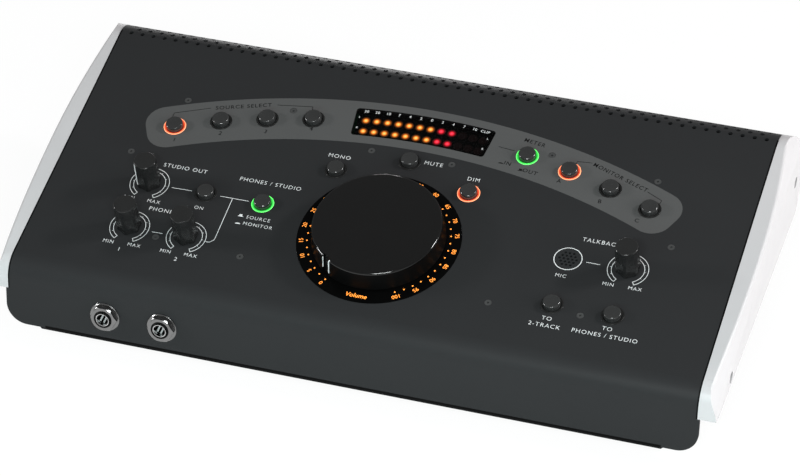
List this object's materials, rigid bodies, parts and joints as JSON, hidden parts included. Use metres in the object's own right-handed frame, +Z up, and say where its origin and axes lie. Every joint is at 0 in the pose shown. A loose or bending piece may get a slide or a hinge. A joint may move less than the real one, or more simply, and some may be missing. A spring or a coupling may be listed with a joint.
{
  "type": "studio monitor controller",
  "caption": "Desktop studio monitor controller: sloping steel console with a large lit volume dial, level knobs, push buttons, an arc meter, talkback microphone and headphone sockets.",
  "frame": {"origin": "centre of the bottom of the whole box, on the plane that the feet stand on", "axes": "+X to the right along the console's width, +Y to the back, +Z up"},
  "size_m": [0.3814, 0.1906, 0.0885],
  "materials": {
    "panel_paint": "satin",
    "cheek_silver": "satin",
    "black_steel": "black oxide",
    "foot_rubber": "matte",
    "board_green": "solder mask",
    "brass": "plain",
    "ribbon_grey": "matte",
    "ring_diffuser": "translucent",
    "black_plastic": "fine texture",
    "pot_steel": "plain",
    "dial_black": "satin",
    "smoked_lens": "gloss",
    "led_amber": "clear",
    "chrome": "bright",
    "sleeve_steel": "bright",
    "knob_black": "satin",
    "button_grey": "satin"
  },
  "bodies": {
    "console": {"base_tray": "panel_paint", "board_spacers": "brass", "case_screws": "black_steel", "cheek_screws": "black_steel", "connector_board": "board_green", "control_board": "board_green", "data_socket": "sleeve_steel", "dial_light_guide": "ring_diffuser", "dial_plate": "dial_black", "feet": "foot_rubber", "left_cheek": "cheek_silver", "light_rings": "ring_diffuser", "line_jack_nuts": "chrome", "line_jacks": "black_plastic", "meter_block": "black_plastic", "meter_leds": "led_amber", "meter_window": "smoked_lens", "microphone_boot": "foot_rubber", "panel_screws": "black_steel", "phones_jack_nuts": "chrome", "phones_jack_sleeves": "sleeve_steel", "phones_jack_washers": "chrome", "phones_jacks": "black_plastic", "phono_sockets": "black_plastic", "power_inlet": "black_plastic", "power_switch_frame": "black_plastic", "rear_panel": "panel_paint", "ribbon_cable": "ribbon_grey", "right_cheek": "cheek_silver", "small_pots": "pot_steel", "switch_bodies": "black_plastic", "talkback_microphone": "pot_steel", "top_cover": "panel_paint", "volume_pot": "pot_steel"},
    "volume": {"volume_knob": "knob_black", "volume_shaft": "sleeve_steel"},
    "studio": {"studio_knob": "knob_black", "studio_shaft": "sleeve_steel"},
    "phones_1": {"phones_1_knob": "knob_black", "phones_1_shaft": "sleeve_steel"},
    "phones_2": {"phones_2_knob": "knob_black", "phones_2_shaft": "sleeve_steel"},
    "talkback": {"talkback_knob": "knob_black", "talkback_shaft": "sleeve_steel"},
    "source_1": {"source_1_button": "button_grey"},
    "source_2": {"source_2_button": "button_grey"},
    "source_3": {"source_3_button": "button_grey"},
    "source_4": {"source_4_button": "button_grey"},
    "meter": {"meter_button": "button_grey"},
    "monitor_a": {"monitor_a_button": "button_grey"},
    "monitor_b": {"monitor_b_button": "button_grey"},
    "monitor_c": {"monitor_c_button": "button_grey"},
    "mono": {"mono_button": "button_grey"},
    "mute": {"mute_button": "button_grey"},
    "dim": {"dim_button": "button_grey"},
    "studio_on": {"studio_on_button": "button_grey"},
    "phones_source": {"phones_source_button": "button_grey"},
    "talk_to_track": {"talk_to_track_button": "button_grey"},
    "talk_to_phones": {"talk_to_phones_button": "button_grey"},
    "power_rocker": {"power_switch_rocker": "black_plastic"}
  },
  "joints": [
    {"name": "volume_turn", "type": "hinge", "parent": "console", "child": "volume", "pos_m": [0, -0.03353, 0.0566], "axis": [0, -0.2924, 0.9563], "range_deg": [-296, 4]},
    {"name": "studio_turn", "type": "hinge", "parent": "console", "child": "studio", "pos_m": [-0.1278, -0.02502, 0.0592], "axis": [0, -0.2924, 0.9563], "range_deg": [-283, 17]},
    {"name": "phones_1_turn", "type": "hinge", "parent": "console", "child": "phones_1", "pos_m": [-0.1278, -0.05381, 0.0504], "axis": [0, -0.2924, 0.9563], "range_deg": [-150, 150]},
    {"name": "phones_2_turn", "type": "hinge", "parent": "console", "child": "phones_2", "pos_m": [-0.0968, -0.05381, 0.0504], "axis": [0, -0.2924, 0.9563], "range_deg": [-150, 150]},
    {"name": "talkback_turn", "type": "hinge", "parent": "console", "child": "talkback", "pos_m": [0.1278, -0.02502, 0.0592], "axis": [0, -0.2924, 0.9563], "range_deg": [-150, 150]},
    {"name": "source_1_press", "type": "slide", "parent": "console", "child": "source_1", "axis": [0, -0.2924, 0.9563], "range_m": [-0.0025, 0], "stiffness_N_per_m": 200},
    {"name": "source_2_press", "type": "slide", "parent": "console", "child": "source_2", "axis": [0, -0.2924, 0.9563], "range_m": [-0.0025, 0], "stiffness_N_per_m": 200},
    {"name": "source_3_press", "type": "slide", "parent": "console", "child": "source_3", "axis": [0, -0.2924, 0.9563], "range_m": [-0.0025, 0], "stiffness_N_per_m": 200},
    {"name": "source_4_press", "type": "slide", "parent": "console", "child": "source_4", "axis": [0, -0.2924, 0.9563], "range_m": [-0.0025, 0], "stiffness_N_per_m": 200},
    {"name": "meter_press", "type": "slide", "parent": "console", "child": "meter", "axis": [0, -0.2924, 0.9563], "range_m": [-0.0025, 0], "stiffness_N_per_m": 200},
    {"name": "monitor_a_press", "type": "slide", "parent": "console", "child": "monitor_a", "axis": [0, -0.2924, 0.9563], "range_m": [-0.0025, 0], "stiffness_N_per_m": 200},
    {"name": "monitor_b_press", "type": "slide", "parent": "console", "child": "monitor_b", "axis": [0, -0.2924, 0.9563], "range_m": [-0.0025, 0], "stiffness_N_per_m": 200},
    {"name": "monitor_c_press", "type": "slide", "parent": "console", "child": "monitor_c", "axis": [0, -0.2924, 0.9563], "range_m": [-0.0025, 0], "stiffness_N_per_m": 200},
    {"name": "mono_press", "type": "slide", "parent": "console", "child": "mono", "axis": [0, -0.2924, 0.9563], "range_m": [-0.0025, 0], "stiffness_N_per_m": 200},
    {"name": "mute_press", "type": "slide", "parent": "console", "child": "mute", "axis": [0, -0.2924, 0.9563], "range_m": [-0.0025, 0], "stiffness_N_per_m": 200},
    {"name": "dim_press", "type": "slide", "parent": "console", "child": "dim", "axis": [0, -0.2924, 0.9563], "range_m": [-0.0025, 0], "stiffness_N_per_m": 200},
    {"name": "studio_on_press", "type": "slide", "parent": "console", "child": "studio_on", "axis": [0, -0.2924, 0.9563], "range_m": [-0.0025, 0], "stiffness_N_per_m": 200},
    {"name": "phones_source_press", "type": "slide", "parent": "console", "child": "phones_source", "axis": [0, -0.2924, 0.9563], "range_m": [-0.0025, 0], "stiffness_N_per_m": 200},
    {"name": "talk_to_track_press", "type": "slide", "parent": "console", "child": "talk_to_track", "axis": [0, -0.2924, 0.9563], "range_m": [-0.0025, 0], "stiffness_N_per_m": 200},
    {"name": "talk_to_phones_press", "type": "slide", "parent": "console", "child": "talk_to_phones", "axis": [0, -0.2924, 0.9563], "range_m": [-0.0025, 0], "stiffness_N_per_m": 200},
    {"name": "power_rock", "type": "hinge", "parent": "console", "child": "power_rocker", "pos_m": [0.14208, 0.08629, 0.0321], "axis": [1, 0, 0], "range_deg": [0, 16]}
  ]
}
